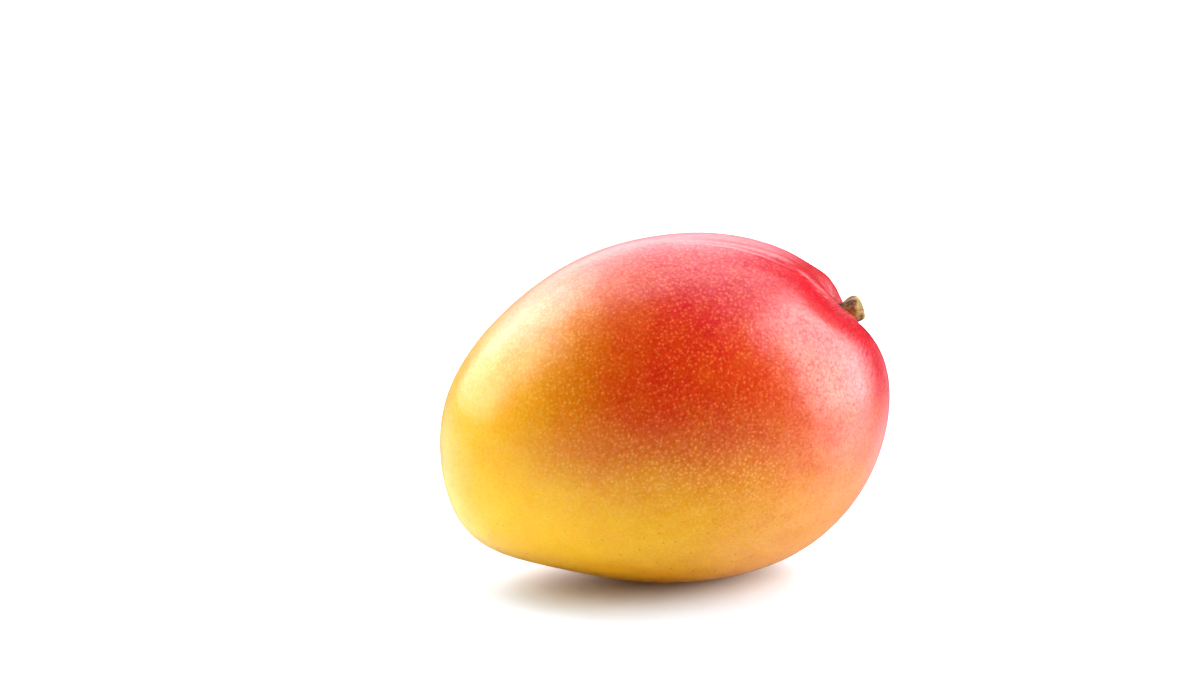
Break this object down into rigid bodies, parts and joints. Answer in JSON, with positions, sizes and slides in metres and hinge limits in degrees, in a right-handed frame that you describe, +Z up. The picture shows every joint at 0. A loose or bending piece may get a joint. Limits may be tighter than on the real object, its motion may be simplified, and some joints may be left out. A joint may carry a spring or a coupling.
{
  "type": "mango",
  "caption": "Ripe whole mango with the short cut stub of its stem, lying on its belly on a small flat spot.",
  "frame": {"origin": "middle of the small flat spot on the belly that the fruit rests on, at floor level", "axes": "+X along the fruit towards its stem end, +Y through the two cheeks, +Z up over the crest"},
  "size_m": [0.1203, 0.0855, 0.0924],
  "materials": {
    "skin": "satin, waxy skin: yellow at the apex and belly, orange to red on the cheeks and crimson round the stem",
    "stem_wood": "rough dry bark with a pale cut end"
  },
  "bodies": {
    "root": {"fruit": "skin", "stem_stub": "stem_wood"}
  },
  "joints": []
}
